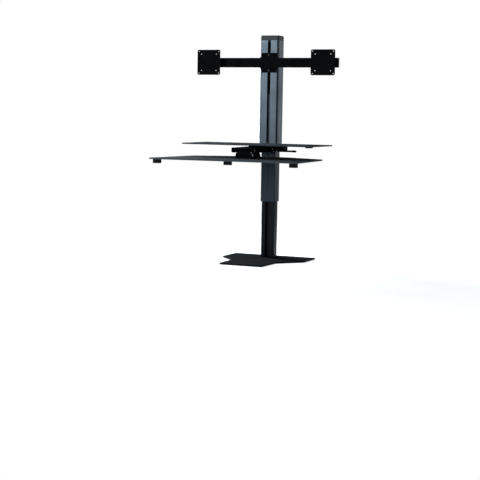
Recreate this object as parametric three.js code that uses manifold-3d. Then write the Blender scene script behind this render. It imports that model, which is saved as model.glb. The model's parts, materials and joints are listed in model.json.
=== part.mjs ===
// Standing desk converter: a weighted base plate, a three-stage electric column, an upper shelf,
// a keyboard tray on a parallel arm under the shelf, and a crossbar with two tilting monitor plates.
// Millimetres. +Z is up, +X is the user's right and +Y points away from the user.
// The origin is on the desk surface, on the centre line of the column's width. The column is raised.
import * as THREE from 'three';
import { mergeVertices } from 'three/addons/utils/BufferGeometryUtils.js';
import Module from 'manifold-3d';

const wasm = await Module();
wasm.setup();

// ---------------------------------------------------------------- driving dimensions

const GAP = 0.3;                  // clearance between touching pieces
const ROUND = 20;                 // sides on a round piece

const PAD_THICK = 1.5;
const PAD_INSET = 3;
const BASE_TOP = 8;
const BASE_HALF_WIDTH = 205;
const BASE_REAR = 77;
const BASE_SHOULDER = -78.5;      // where the wide rear part of the base starts to taper
const BASE_NECK_HALF_WIDTH = 108;
const BASE_NECK = -184;           // where the taper meets the tongue
const BASE_TONGUE_HALF_WIDTH = 104;
const BASE_FRONT = -339;
const FLANGE = { halfWidth: 36, halfDepth: 26, thick: 3, corner: 5 };
const BASE_SCREW = { x: 22, y: 12, radius: 2, headRadius: 4.5, headHeight: 3.1, tip: 13.5 };

const COLUMN_Y = -4.5;            // middle of the column's depth
const LOWER = { width: 65.5, depth: 40, wall: 2, top: 500, channelWidth: 26, channelDepth: 16 };
const MID = { width: 72, depth: 54, wall: 1.7, bottom: 271, top: 771 };
const HOLE_RADIUS = 2.5;
const HOLE_PITCH = 10;
const FIRST_HOLE = 281;
const HOLE_COUNT = 44;
const GLIDE_HALF_WIDTH = 28;
const GLIDE_HEIGHT = 40;
const MAST = { width: 91, front: -41.5, back: 28.5, wall: 3, bottom: 505, top: 1016, corner: 8.5 };
const MAST_SLOT = 14;
const MAST_GROOVE = { depth: 1.2, width: 3, fromFront: 13 };
const CAP = { top: 1038, crown: 4, step: 2 };
const SCREW_AXIS_Y = 3.5;         // the lead screw stands behind the lower column's channel
const LEAD_SCREW_RADIUS = 6;
const LIFT_NUT = { halfWidth: 12, height: 20 };
const MOTOR = { bottom: 950, radius: 15, neckRadius: 13, neckHeight: 24 };
const CONTROL_BOX = { halfWidth: 26, depth: 27, bottom: 560, top: 680, corner: 5 };
const INLET = { halfWidth: 14, inset: 4, top: 572, bottom: 557, wall: 3, bladePitch: 7 };
const SWITCH = { left: 284, right: 310, front: -299, back: -270, height: 4.3, pocket: 4 };
const ROCKER = { y: -297, z: 534.2, front: 3.8, back: 1.5, halfHeight: 0.9, play: 0.5 };

const SHELF = { frontHalf: 313, front: -309, backHalf: 318, back: -36, top: 542.2, thick: 5.6, corner: 5 };
const SHELF_UNDER = SHELF.top - SHELF.thick;
const COLLAR = { halfWidth: 88, front: -64, back: -10, bottom: 511, corner: 10 };
const GUSSET = { length: 24, inner: 71, outer: 76, noseHeight: 4 };

const ARM_PIVOT = { y: -118, z: 518 };
const HEAD_PIVOT = { y: -317, z: 516 };
const LINK_OFFSET = { y: 12, z: -9 };   // from each arm pivot to the matching pivot of the level link
const TILT_PIVOT = { y: -312, z: 495 };
const ARM = { halfWidth: 50, halfHeight: 11.5, wall: 4.5, skin: 3, front: -342 };
const MOUNT = { gap: 0.5, cheek: 5, plate: 3.7, front: -160, back: -66, cheekBottom: 503 };
const REAR_PIN_RADIUS = 4;
const HEAD_BOLT = { radius: 2.4, headRadius: 3.8, headLength: 2.6 };
const LINK = { halfWidth: 6, halfHeight: 3.5, pinRadius: 2, frontPinHalf: 18 };
const HEAD = { barrelRadius: 8, neckHalf: 30, lugHalf: 22, slotHalf: 6.6, foot: 7.5 };
const LEVER = { y: -96, z: 518, drop: 8, start: 56.7, end: 155, radius: 4.2, hubRadius: 6, hubLength: 6 };
const GRIP = { length: 12, beyond: 10, radius: 4.8, rimRadius: 4.2, stubRadius: 2.6 };

const TRAY = { frontHalf: 350, front: -559, sideHalf: 320, side: -168, backHalf: 100, back: -50 };
const TRAY_CORNERS = { front: 5, side: 10, back: 30 };
const TRAY_TOP = 480.5;
const TRAY_THICK = 6.5;
const TRAY_UNDER = TRAY_TOP - TRAY_THICK;
const FOOT = { width: 34, depth: 24, height: 18, corner: 5 };
const FOOT_PLACES = [[-322, -532], [0, -490], [322, -532]];
const BRACKET = {
  plateHalf: 44, plate: 3.5, front: 38, back: 112, cheekInner: 31, cheekOuter: 37,
  nose: 14, noseRise: 3, brow: 6, crown: 10, wing: 92, wingRise: 9, tail: 104,
};
const TILT_BOLT = { radius: 3, ovalHalfDepth: 3.5, ovalHalfHeight: 6.5, ovalThick: 4 };

const HEAD_X = 282.6;             // each monitor plate's centre, left and right
const BAR_Z = 913;
const BAR = { halfLength: 340, front: -59.3, back: -45.1, halfHeight: 22, wall: 2, corner: 3, cap: 4 };
const CARRIAGE = { halfWidth: 38, reach: 45, boltRise: 36, boltRadius: 3, boltHead: 5 };
const CARRIAGE_NUT = { halfWidth: 18, thick: 5.4 };
const SADDLE_LIP = 3.7;
const SLIDER = { halfWidth: 28, wall: 3, backWall: 2.6, lipReach: 14, earHalf: 9, earInner: 17.6, ear: 4 };
const KNOB = { radius: 8, noseRadius: 6, neckRadius: 5, length: 14, screwRadius: 2.5 };
const PAN_Y = -72;
const PAN_PIN = { radius: 3, headRadius: 5, half: 24 };
const VESA_TILT_Y = -83;
const TILT_BLOCK = { halfWidth: 13.5, barrelRadius: 8, noseRadius: 6 };
const TILT_PIN = { radius: 2.5, half: 19 };
const VESA = { half: 58, back: -92, thick: 3, corner: 8, pitches: [50, 37.5], holeRadius: 2.25 };
const VESA_LUG = { inner: 14, outer: 18, halfHeight: 8, reach: 6 };

const FINISHES = {
  mastPaint: { color: 0x57626b, roughness: 0.42, metalness: 0.6 },
  midPaint: { color: 0x1c262e, roughness: 0.45, metalness: 0.5 },
  blackPaint: { color: 0x212123, roughness: 0.6, metalness: 0.3 },
  trayPaint: { color: 0x343a3f, roughness: 0.55, metalness: 0.1 },
  plastic: { color: 0x17181a, roughness: 0.6, metalness: 0 },
  rubber: { color: 0x101112, roughness: 0.9, metalness: 0 },
  steel: { color: 0x8c8c8e, roughness: 0.35, metalness: 0.9 },
};

// ---------------------------------------------------------------- helpers

const ALONG_X = new THREE.Matrix4().makeBasis(
  new THREE.Vector3(0, 1, 0), new THREE.Vector3(0, 0, 1), new THREE.Vector3(1, 0, 0));
const ALONG_Y = new THREE.Matrix4().makeBasis(
  new THREE.Vector3(1, 0, 0), new THREE.Vector3(0, 0, 1), new THREE.Vector3(0, -1, 0));

const converter = new THREE.Group();
converter.name = 'standing_desk_converter';

function add(name, geometry, finish, x = 0) {
  const mesh = new THREE.Mesh(geometry, new THREE.MeshStandardMaterial(FINISHES[finish]));
  mesh.name = name;
  mesh.position.x = x;
  converter.add(mesh);
}

// A closed outline through [a, b, radius] points, each corner rounded by its radius.
function outline(points, kind = THREE.Shape) {
  const path = new kind();
  const count = points.length;
  points.forEach(([a, b, radius = 0], index) => {
    const corner = new THREE.Vector2(a, b);
    const before = new THREE.Vector2(...points[(index + count - 1) % count]);
    const after = new THREE.Vector2(...points[(index + 1) % count]);
    const enter = before.sub(corner).setLength(radius).add(corner);
    const leave = after.sub(corner).setLength(radius).add(corner);
    if (index === 0) path.moveTo(enter.x, enter.y);
    else if (path.currentPoint.distanceTo(enter) > 1e-6) path.lineTo(enter.x, enter.y);
    if (radius > 0) path.quadraticCurveTo(a, b, leave.x, leave.y);
  });
  if (path.currentPoint.distanceTo(path.getPoint(0)) > 1e-6) path.closePath();
  return path;
}

function rectangle(a0, a1, b0, b1, radius = 0, kind = THREE.Shape) {
  return outline([[a0, b0, radius], [a1, b0, radius], [a1, b1, radius], [a0, b1, radius]], kind);
}

function circle(a, b, radius, kind = THREE.Path) {
  return new kind().absarc(a, b, radius, 0, 2 * Math.PI);
}

function mirrored(points) {
  return [...points, ...points.map(([a, b, radius]) => [-a, b, radius]).reverse()];
}

function extrude(shape, depth, segments = 5) {
  return new THREE.ExtrudeGeometry(shape, { depth, bevelEnabled: false, curveSegments: segments });
}

function extrudeZ(shape, bottom, top, segments) {
  return extrude(shape, top - bottom, segments).translate(0, 0, bottom);
}

function extrudeX(shape, left, right, segments) {
  return extrude(shape, right - left, segments).applyMatrix4(ALONG_X).translate(left, 0, 0);
}

function extrudeY(shape, front, back, segments) {
  return extrude(shape, back - front, segments).applyMatrix4(ALONG_Y).translate(0, back, 0);
}

function box(x0, x1, y0, y1, z0, z1) {
  const geometry = new THREE.BoxGeometry(x1 - x0, y1 - y0, z1 - z0);
  return geometry.translate((x0 + x1) / 2, (y0 + y1) / 2, (z0 + z1) / 2);
}

function rodX(radius, left, right, pivot) {
  const geometry = new THREE.CylinderGeometry(radius, radius, right - left, ROUND);
  return geometry.rotateZ(-Math.PI / 2).translate((left + right) / 2, pivot.y, pivot.z);
}

function rodY(radius, front, back, x, z) {
  const geometry = new THREE.CylinderGeometry(radius, radius, back - front, ROUND);
  return geometry.translate(x, (front + back) / 2, z);
}

function rodZ(radius, bottom, top, x, y) {
  const geometry = new THREE.CylinderGeometry(radius, radius, top - bottom, ROUND);
  return geometry.rotateX(Math.PI / 2).translate(x, y, (bottom + top) / 2);
}

// A turned piece about +Z from [radius, height] points that start and end on the axis.
function turned(points, x, y, z) {
  const profile = points.map(([radius, height]) => new THREE.Vector2(radius, height));
  return new THREE.LatheGeometry(profile, ROUND).rotateX(Math.PI / 2).translate(x, y, z);
}

function toSolid(geometry) {
  const bare = geometry.clone();
  bare.deleteAttribute('normal');
  bare.deleteAttribute('uv');
  const merged = mergeVertices(bare, 1e-4);
  return new wasm.Manifold(new wasm.Mesh({
    numProp: 3,
    vertProperties: Float32Array.from(merged.attributes.position.array),
    triVerts: Uint32Array.from(merged.index.array),
  }));
}

function toGeometry(solid) {
  const mesh = solid.getMesh();
  const geometry = new THREE.BufferGeometry();
  const places = Float32Array.from(mesh.vertProperties);
  geometry.setAttribute('position', new THREE.BufferAttribute(places, 3));
  geometry.setIndex(new THREE.BufferAttribute(Uint32Array.from(mesh.triVerts), 1));
  geometry.computeVertexNormals();
  return geometry;
}

function join(...geometries) {
  return toGeometry(geometries.map(toSolid).reduce((whole, next) => whole.add(next)));
}

function cut(geometry, ...tools) {
  const start = toSolid(geometry);
  return toGeometry(tools.map(toSolid).reduce((whole, tool) => whole.subtract(tool), start));
}

// ---------------------------------------------------------------- base

function addBase() {
  const half = [
    [BASE_HALF_WIDTH, BASE_REAR, 5],
    [BASE_HALF_WIDTH, BASE_SHOULDER, 8],
    [BASE_NECK_HALF_WIDTH, BASE_NECK, 12],
    [BASE_TONGUE_HALF_WIDTH, BASE_FRONT, 5],
  ];
  const inset = half.map(([x, y, radius]) => [x - PAD_INSET, y - Math.sign(y) * PAD_INSET, radius]);
  add('base_pad', extrudeZ(outline(mirrored(inset).reverse()), 0, PAD_THICK), 'rubber');

  const plateBottom = PAD_THICK + GAP;
  const flangeBottom = BASE_TOP + GAP;
  const headBottom = plateBottom + GAP;
  const headTop = headBottom + BASE_SCREW.headHeight;
  const bore = BASE_SCREW.radius + GAP;
  const flange = rectangle(-FLANGE.halfWidth, FLANGE.halfWidth,
    COLUMN_Y - FLANGE.halfDepth, COLUMN_Y + FLANGE.halfDepth, FLANGE.corner);
  const drills = [];
  [[-1, -1], [1, -1], [-1, 1], [1, 1]].forEach(([sideX, sideY], index) => {
    const x = sideX * BASE_SCREW.x;
    const y = COLUMN_Y + sideY * BASE_SCREW.y;
    drills.push(rodZ(bore, 0, BASE_TOP + 1, x, y));
    drills.push(rodZ(BASE_SCREW.headRadius + GAP, 0, headTop + GAP, x, y));
    flange.holes.push(circle(x, y, bore));
    add(`base_screw_${index + 1}`, turned([
      [0, headBottom], [BASE_SCREW.headRadius, headBottom], [BASE_SCREW.headRadius, headTop],
      [BASE_SCREW.radius, headTop], [BASE_SCREW.radius, BASE_SCREW.tip], [0, BASE_SCREW.tip],
    ], x, y, 0), 'steel');
  });
  const plate = extrudeZ(outline(mirrored(half).reverse()), plateBottom, BASE_TOP);
  add('base_plate', cut(plate, ...drills), 'blackPaint');
  add('column_flange', extrudeZ(flange, flangeBottom, flangeBottom + FLANGE.thick), 'blackPaint');
}

// ---------------------------------------------------------------- column

function addLowerColumn() {
  const bottom = BASE_TOP + 2 * GAP + FLANGE.thick;
  const front = COLUMN_Y - LOWER.depth / 2;
  const back = COLUMN_Y + LOWER.depth / 2;
  const side = LOWER.width / 2;
  const lip = LOWER.channelWidth / 2;
  const floor = front + LOWER.channelDepth;
  const wall = LOWER.wall;
  const section = outline(mirrored([
    [lip, floor], [lip, front, 1], [side, front, 3], [side, back, 3],
  ]));
  section.holes.push(outline(mirrored([
    [lip + wall, floor + wall], [lip + wall, front + wall],
    [side - wall, front + wall], [side - wall, back - wall],
  ]), THREE.Path));
  add('lower_column', extrudeZ(section, bottom, LOWER.top), 'midPaint');
  const nutBottom = LOWER.top - LIFT_NUT.height;
  const nut = box(-LIFT_NUT.halfWidth, LIFT_NUT.halfWidth,
    floor + wall + GAP, back - wall - GAP, nutBottom, LOWER.top);
  const bore = rodZ(LEAD_SCREW_RADIUS + GAP, nutBottom - 10, LOWER.top + 10, 0, SCREW_AXIS_Y);
  add('lift_nut', cut(nut, bore), 'steel');
}

function addMidColumn() {
  const side = MID.width / 2;
  const front = COLUMN_Y - MID.depth / 2;
  const back = COLUMN_Y + MID.depth / 2;
  const wall = MID.wall;
  const section = rectangle(-side, side, front, back, 3);
  section.holes.push(rectangle(-side + wall, side - wall, front + wall, back - wall, 1.5, THREE.Path));
  const holes = Array.from({ length: HOLE_COUNT }, (unused, index) => {
    const drill = new THREE.CylinderGeometry(HOLE_RADIUS, HOLE_RADIUS, 2 * wall, 12);
    return drill.translate(0, front + wall / 2, FIRST_HOLE + index * HOLE_PITCH);
  });
  add('mid_column', cut(extrudeZ(section, MID.bottom, MID.top), ...holes), 'midPaint');

  const padBottom = MID.bottom + 1;
  const padTop = padBottom + GLIDE_HEIGHT;
  const lowerFront = COLUMN_Y - LOWER.depth / 2;
  const lowerBack = COLUMN_Y + LOWER.depth / 2;
  const padHalf = GLIDE_HALF_WIDTH;
  const pad = box(-padHalf, padHalf, front + wall + GAP, lowerFront - GAP, padBottom, padTop);
  const keyHalf = LOWER.channelWidth / 2 - GAP;
  const keyBack = lowerFront + LOWER.channelDepth - 1;
  const key = box(-keyHalf, keyHalf, front + wall + 1, keyBack, padBottom, padTop);
  add('mid_glide_front', join(pad, key), 'plastic');
  const rearPad = box(-padHalf, padHalf, lowerBack + GAP, back - wall - GAP, padBottom, padTop);
  add('mid_glide_rear', rearPad, 'plastic');
}

function addMast() {
  const side = MAST.width / 2;
  const slot = MAST_SLOT / 2;
  const { front, back, wall, corner } = MAST;
  const groove = front + MAST_GROOVE.fromFront;
  const grooveFloor = side - MAST_GROOVE.depth;
  const half = [
    [slot, front + wall], [slot, front, 0.8], [side, front, corner],
    [side, groove], [grooveFloor, groove], [grooveFloor, groove + MAST_GROOVE.width],
    [side, groove + MAST_GROOVE.width], [side, back, corner],
  ];
  const inner = [[wall - side, front + wall, corner - wall], [wall - side, back - wall, corner - wall]];
  const section = outline([...mirrored(half), ...mirrored(inner)]);
  add('outer_mast', extrudeZ(section, MAST.bottom, MAST.top), 'mastPaint');

  const step = CAP.step;
  const capOutline = rectangle(-side, side, front, back, corner);
  const crownOutline = rectangle(step - side, side - step, front + step, back - step, corner - step);
  const capBody = extrudeZ(capOutline, MAST.top + GAP, CAP.top - CAP.crown);
  const crown = extrudeZ(crownOutline, CAP.top - CAP.crown - 1, CAP.top);
  add('mast_top_cap', join(capBody, crown), 'plastic');

  const midFront = COLUMN_Y - MID.depth / 2 - GAP;
  const midBack = COLUMN_Y + MID.depth / 2 + GAP;
  const midSide = MID.width / 2 + GAP;
  const inset = wall + GAP;
  const ring = rectangle(-side + inset, side - inset, front + inset, back - inset, corner - wall);
  ring.holes.push(rectangle(-midSide, midSide, midFront, midBack, 3, THREE.Path));
  const ringBottom = MAST.bottom + 1;
  add('mast_glide_ring', extrudeZ(ring, ringBottom, ringBottom + GLIDE_HEIGHT), 'plastic');

  const motorTop = MAST.top - 1;
  const shoulder = MOTOR.bottom + MOTOR.neckHeight;
  add('gear_motor', turned([
    [0, MOTOR.bottom], [MOTOR.neckRadius, MOTOR.bottom], [MOTOR.neckRadius, shoulder],
    [MOTOR.radius, shoulder], [MOTOR.radius, motorTop], [0, motorTop],
  ], 0, SCREW_AXIS_Y, 0), 'steel');
  const screwBottom = LOWER.top - LIFT_NUT.height - 2;
  const screwTop = MOTOR.bottom - GAP;
  add('lead_screw', rodZ(LEAD_SCREW_RADIUS, screwBottom, screwTop, 0, SCREW_AXIS_Y), 'steel');
}

function addControls() {
  const back = MAST.back + GAP;
  const { halfWidth, depth, bottom, top, corner } = CONTROL_BOX;
  const body = extrudeZ(rectangle(-halfWidth, halfWidth, back, back + depth, corner), bottom, top);
  const side = INLET.halfWidth;
  const near = back + INLET.inset;
  const far = back + depth - INLET.inset + 1;
  add('control_box', cut(body, box(-side, side, near, far, bottom - 5, INLET.top)), 'plastic');
  const shell = box(-side + GAP, side - GAP, near + GAP, far - GAP, INLET.bottom, INLET.top - GAP);
  const { wall, bladePitch } = INLET;
  const well = box(-side + wall, side - wall, near + wall, far - wall, INLET.bottom - 5, INLET.top - wall);
  const blades = [-bladePitch, 0, bladePitch].map((x) => (
    box(x - 1, x + 1, near + 7, near + 12, INLET.bottom + 3, INLET.top - wall + 1)));
  add('power_inlet', join(cut(shell, well), ...blades), 'plastic');

  const roof = SHELF_UNDER - GAP;
  const housing = box(SWITCH.left, SWITCH.right, SWITCH.front, SWITCH.back, roof - SWITCH.height, roof);
  const pocketHalf = ROCKER.halfHeight + ROCKER.play;
  const left = SWITCH.left + SWITCH.pocket;
  const right = SWITCH.right - SWITCH.pocket;
  const floor = ROCKER.z - pocketHalf;
  const ceiling = ROCKER.z + pocketHalf;
  const pocket = box(left, right, SWITCH.front - 5, SWITCH.front + 7, floor, ceiling);
  add('switch_housing', cut(housing, pocket), 'plastic');
  const rocker = rectangle(ROCKER.y - ROCKER.front, ROCKER.y + ROCKER.back,
    ROCKER.z - ROCKER.halfHeight, ROCKER.z + ROCKER.halfHeight, 0.6);
  add('rocker_switch', extrudeX(rocker, left + 2 * GAP, right - 2 * GAP), 'plastic');
}

// ---------------------------------------------------------------- shelf

function addShelf() {
  const notchHalf = MAST.width / 2 + 2 * GAP;
  const notchFront = MAST.front - 2 * GAP;
  const { front, back, top, corner } = SHELF;
  const shelf = outline(mirrored([
    [notchHalf, notchFront, 3], [notchHalf, back, 2],
    [SHELF.backHalf, back, corner], [SHELF.frontHalf, front, corner],
  ]).reverse());
  add('upper_shelf', extrudeZ(shelf, SHELF_UNDER, top), 'trayPaint');

  const mastHalf = MAST.width / 2 + GAP;
  const collar = outline(mirrored([
    [mastHalf, MAST.front - GAP, MAST.corner], [mastHalf, COLLAR.back],
    [COLLAR.halfWidth, COLLAR.back, 3], [COLLAR.halfWidth, COLLAR.front, COLLAR.corner],
  ]));
  const roof = SHELF_UNDER - GAP;
  add('shelf_collar', extrudeZ(collar, COLLAR.bottom, roof), 'blackPaint');

  const root = COLLAR.front - GAP;
  const nose = root - GUSSET.length;
  const gusset = outline([
    [nose, roof - GUSSET.noseHeight], [nose, roof], [root, roof], [root, COLLAR.bottom],
  ]);
  add('shelf_gusset_left', extrudeX(gusset, -GUSSET.outer, -GUSSET.inner), 'blackPaint');
  add('shelf_gusset_right', extrudeX(gusset, GUSSET.inner, GUSSET.outer), 'blackPaint');
}

// ---------------------------------------------------------------- keyboard arm and tray

const LINK_REAR = { y: ARM_PIVOT.y + LINK_OFFSET.y, z: ARM_PIVOT.z + LINK_OFFSET.z };
const LINK_FRONT = { y: HEAD_PIVOT.y + LINK_OFFSET.y, z: HEAD_PIVOT.z + LINK_OFFSET.z };
const CHEEK_INNER = ARM.halfWidth + MOUNT.gap;
const CHEEK_OUTER = CHEEK_INNER + MOUNT.cheek;
const ARM_BORE_HALF = CHEEK_OUTER + 5;

// A bore right through the arm's width, GAP wider than the pin that runs in it.
function pinBore(radius, pivot) {
  return rodX(radius + GAP, -ARM_BORE_HALF, ARM_BORE_HALF, pivot);
}

function addArmMount() {
  const roof = SHELF_UNDER - GAP;
  const low = MOUNT.cheekBottom;
  const front = ARM_PIVOT.y - 18;
  const back = ARM_PIVOT.y + 36;
  const cheek = outline([
    [front, roof], [front, low + 5, 8], [ARM_PIVOT.y, low, 4], [back, low, 8], [back, roof],
  ]);
  const mount = join(
    box(-CHEEK_OUTER, CHEEK_OUTER, MOUNT.front, MOUNT.back, roof - MOUNT.plate, roof),
    extrudeX(cheek, CHEEK_INNER, CHEEK_OUTER),
    extrudeX(cheek, -CHEEK_OUTER, -CHEEK_INNER),
  );
  const bores = [pinBore(REAR_PIN_RADIUS, ARM_PIVOT), pinBore(LINK.pinRadius, LINK_REAR)];
  add('arm_mount', cut(mount, ...bores), 'blackPaint');
  add('arm_rear_pin', rodX(REAR_PIN_RADIUS, -CHEEK_OUTER - 1, CHEEK_OUTER + 1, ARM_PIVOT), 'steel');
}

function addArm() {
  const { halfWidth, halfHeight, wall, skin, front } = ARM;
  const rear = ARM_PIVOT.y + halfHeight;
  const profile = outline([
    [rear, ARM_PIVOT.z + halfHeight, halfHeight],
    [front, HEAD_PIVOT.z + halfHeight, 8], [front, HEAD_PIVOT.z - halfHeight + 2, 8],
    [HEAD_PIVOT.y, HEAD_PIVOT.z - halfHeight, 2],
    [rear, ARM_PIVOT.z - halfHeight, halfHeight],
  ]);
  const insideHalf = halfWidth - wall;
  const channelBack = rear + 7;
  const channelFront = front - 5;
  const channelBottom = HEAD_PIVOT.z - 3 * halfHeight;
  const channel = outline([
    [channelBack, ARM_PIVOT.z + halfHeight - skin], [channelFront, HEAD_PIVOT.z + halfHeight - skin],
    [channelFront, channelBottom], [channelBack, channelBottom],
  ]);
  add('arm_housing', cut(
    extrudeX(profile, -halfWidth, halfWidth),
    extrudeX(channel, -insideHalf, insideHalf),
    pinBore(REAR_PIN_RADIUS, ARM_PIVOT),
    pinBore(HEAD_BOLT.radius, HEAD_PIVOT),
  ), 'blackPaint');
}

function addLevelLink() {
  const { halfWidth, halfHeight, pinRadius, frontPinHalf } = LINK;
  const end = 4;
  const bar = outline([
    [LINK_REAR.y + end, LINK_REAR.z + halfHeight, 3], [LINK_FRONT.y - end, LINK_FRONT.z + halfHeight, 3],
    [LINK_FRONT.y - end, LINK_FRONT.z - halfHeight, 3], [LINK_REAR.y + end, LINK_REAR.z - halfHeight, 3],
  ]);
  add('level_link', join(
    extrudeX(bar, -halfWidth, halfWidth),
    rodX(pinRadius, -CHEEK_OUTER, CHEEK_OUTER, LINK_REAR),
    rodX(pinRadius, -frontPinHalf, frontPinHalf, LINK_FRONT),
  ), 'steel');
}

function addHead() {
  const { y, z } = HEAD_PIVOT;
  const barrelHalf = ARM.halfWidth - ARM.wall - 0.5;
  const foot = TILT_PIVOT.z - HEAD.foot;
  const neck = outline([
    [y + 7, z + 4, 3], [y - 10, z + 4, 3], [TILT_PIVOT.y - 9, TILT_PIVOT.z + 1, 4],
    [TILT_PIVOT.y - 7, foot, 4], [TILT_PIVOT.y + 7, foot, 4], [TILT_PIVOT.y + 9, TILT_PIVOT.z + 1, 4],
  ]);
  const rearLug = outline([[y + 18, z - 5, 3], [y + 1, z], [y - 5, z - 14], [y + 18, z - 14, 3]]);
  const head = join(
    rodX(HEAD.barrelRadius, -barrelHalf, barrelHalf, HEAD_PIVOT),
    extrudeX(neck, -HEAD.neckHalf, HEAD.neckHalf),
    extrudeX(rearLug, -HEAD.lugHalf, HEAD.lugHalf),
  );
  const linkPinHalf = LINK.frontPinHalf + GAP;
  add('head_block', cut(
    head,
    box(-HEAD.slotHalf, HEAD.slotHalf, y + 1.5, y + 27, z - 20, z - 2),
    rodX(LINK.pinRadius + GAP, -linkPinHalf, linkPinHalf, LINK_FRONT),
    pinBore(HEAD_BOLT.radius, HEAD_PIVOT),
    pinBore(TILT_BOLT.radius, TILT_PIVOT),
  ), 'blackPaint');
  const inner = ARM.halfWidth + GAP;
  const outer = inner + HEAD_BOLT.headLength;
  add('front_pivot_bolt', join(
    rodX(HEAD_BOLT.radius, -inner - 1, inner + 1, HEAD_PIVOT),
    rodX(HEAD_BOLT.headRadius, inner, outer, HEAD_PIVOT),
    rodX(HEAD_BOLT.headRadius, -outer, -inner, HEAD_PIVOT),
  ), 'steel');
}

function addLever() {
  const { y, z, drop, start, end, radius, hubRadius, hubLength } = LEVER;
  const low = z - drop;
  const shoulder = end - GRIP.length - GAP;
  const reach = shoulder - start;
  const course = [[2, z], [9, z], [18, low + 1], [26, low], [reach - 8, low], [reach, low]];
  const bend = new THREE.CatmullRomCurve3(course.map(([along, height]) => (
    new THREE.Vector3(start + along, y, height))));
  const section = circle(0, 0, radius, THREE.Shape);
  const rod = new THREE.ExtrudeGeometry(section, { steps: 24, extrudePath: bend, curveSegments: 6 });
  const tip = { y, z: low };
  const hub = rodX(hubRadius, start, start + hubLength, LEVER);
  const stub = rodX(GRIP.stubRadius, shoulder - 2, end, tip);
  add('lever_rod', join(rod, hub, stub), 'steel');
  const grip = join(
    rodX(GRIP.rimRadius, end - GRIP.length, end + GRIP.beyond, tip),
    rodX(GRIP.radius, end - GRIP.length + 1, end + GRIP.beyond - 1, tip),
  );
  add('lever_grip', cut(grip, rodX(GRIP.stubRadius + GAP, shoulder - 1, end + GAP, tip)), 'plastic');
}

function addTray() {
  const outlineHalf = [
    [TRAY.backHalf, TRAY.back, TRAY_CORNERS.back],
    [TRAY.sideHalf, TRAY.side, TRAY_CORNERS.side],
    [TRAY.frontHalf, TRAY.front, TRAY_CORNERS.front],
  ];
  const tray = extrudeZ(outline(mirrored(outlineHalf).reverse()), TRAY_UNDER, TRAY_TOP, 8);
  add('keyboard_tray', tray, 'trayPaint');
  const { width, depth, height, corner } = FOOT;
  FOOT_PLACES.forEach(([x, y], index) => {
    const foot = rectangle(-width / 2, width / 2, y - depth / 2, y + depth / 2, corner);
    add(`tray_foot_${index + 1}`, extrudeZ(foot, TRAY_UNDER - height, TRAY_UNDER - GAP, 3), 'rubber', x);
  });

  const low = TRAY_TOP + GAP;
  const { y, z } = TILT_PIVOT;
  const { plateHalf, cheekInner, cheekOuter } = BRACKET;
  const cheek = outline([
    [y - BRACKET.nose, low], [y - BRACKET.nose, z + BRACKET.noseRise, 4],
    [y - BRACKET.brow, z + BRACKET.crown, 4],
    [y + BRACKET.wing, z + BRACKET.wingRise, 6], [y + BRACKET.tail, low],
  ]);
  const bracket = join(
    box(-plateHalf, plateHalf, y - BRACKET.front, y + BRACKET.back, low, low + BRACKET.plate),
    extrudeX(cheek, cheekInner, cheekOuter),
    extrudeX(cheek, -cheekOuter, -cheekInner),
  );
  add('tray_bracket', cut(bracket, pinBore(TILT_BOLT.radius, TILT_PIVOT)), 'blackPaint');
  const { ovalHalfDepth, ovalHalfHeight, ovalThick } = TILT_BOLT;
  const oval = rectangle(y - ovalHalfDepth, y + ovalHalfDepth,
    z - ovalHalfHeight, z + ovalHalfHeight, ovalHalfDepth);
  add('tilt_bolt', join(
    rodX(TILT_BOLT.radius, -cheekOuter - 2, cheekOuter + 2, TILT_PIVOT),
    extrudeX(oval, cheekOuter + GAP, cheekOuter + ovalThick),
  ), 'steel');
}

// ---------------------------------------------------------------- monitor mount

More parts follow.
